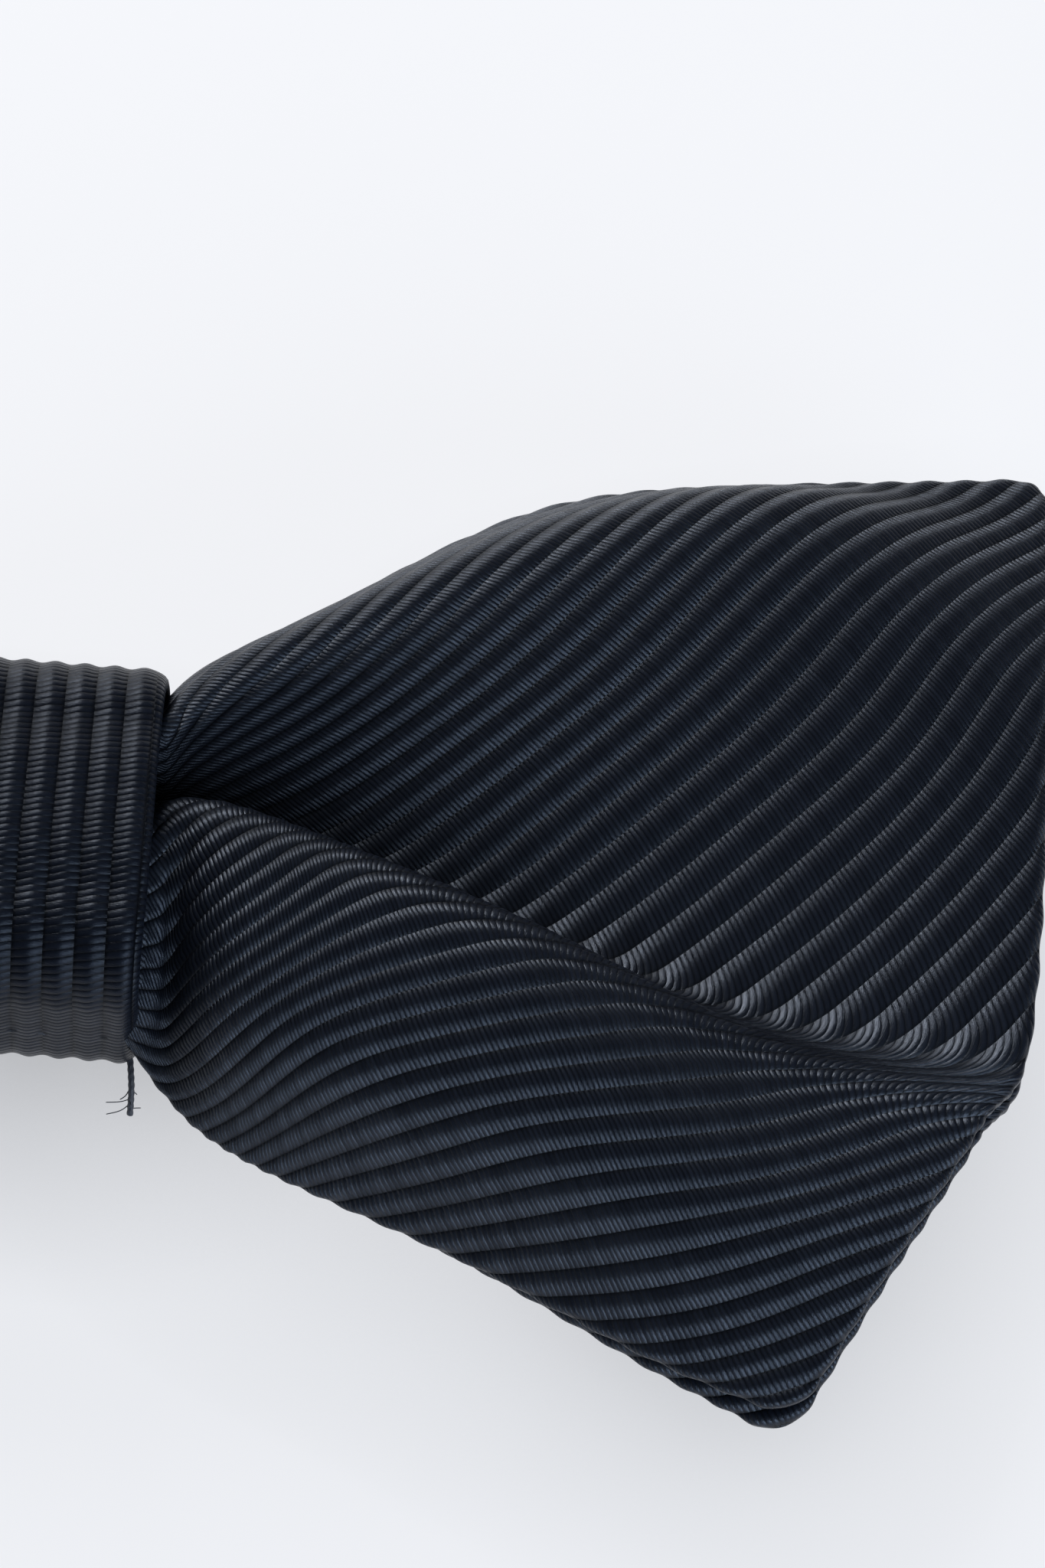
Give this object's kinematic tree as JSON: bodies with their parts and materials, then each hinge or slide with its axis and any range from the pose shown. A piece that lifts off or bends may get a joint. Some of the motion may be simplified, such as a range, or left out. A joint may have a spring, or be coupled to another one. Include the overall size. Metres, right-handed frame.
{
  "type": "clip-on bow tie",
  "caption": "Pre-tied bow tie in ribbed satin, with a folded band round its pleated middle and a spring clip behind it that grips a shirt collar.",
  "frame": {"origin": "middle of the bow on the surface that the feet of the clip's ears stand on", "axes": "+X along the bow to the wearer's left wing end, +Y to the bow's upper edge, +Z out of the front"},
  "size_m": [0.1272, 0.0626, 0.022],
  "materials": {
    "ribbed_satin": "ribbed satin with a soft sheen",
    "canvas": "matt woven canvas",
    "sewing_thread": "twisted polyester thread",
    "felt": "dense wool felt",
    "clip_steel": "nickel-plated stamped steel",
    "spring_steel": "drawn spring wire"
  },
  "bodies": {
    "bow": {"front_bow": "ribbed_satin", "front_bow_interlining": "canvas", "rear_bow": "ribbed_satin", "rear_bow_interlining": "canvas", "knot_wrap": "ribbed_satin", "knot_interlining": "canvas", "pleat_thread": "sewing_thread", "knot_seam_stitches": "sewing_thread", "thread_tail": "sewing_thread", "clip_patch": "felt", "clip_base": "clip_steel", "clip_stitches": "sewing_thread", "hinge_pin_left": "clip_steel", "hinge_pin_right": "clip_steel", "torsion_spring_left": "spring_steel", "torsion_spring_right": "spring_steel"},
    "jaw_left": {"clip_lever_left": "clip_steel"},
    "jaw_right": {"clip_lever_right": "clip_steel"}
  },
  "joints": [
    {"name": "jaw_left_open", "type": "hinge", "parent": "bow", "child": "jaw_left", "pos_m": [-0.009, -0.00067, 0.0032], "axis": [0, -1, 0], "range_deg": [0, 20], "stiffness_Nm_per_rad": 0.02, "springref_deg": -20.05, "deforming": ["torsion_spring_left"]},
    {"name": "jaw_right_open", "type": "hinge", "parent": "bow", "child": "jaw_right", "pos_m": [0.009, -0.00067, 0.0032], "axis": [0, 1, 0], "range_deg": [0, 20], "stiffness_Nm_per_rad": 0.02, "springref_deg": -20.05, "deforming": ["torsion_spring_right"]}
  ]
}
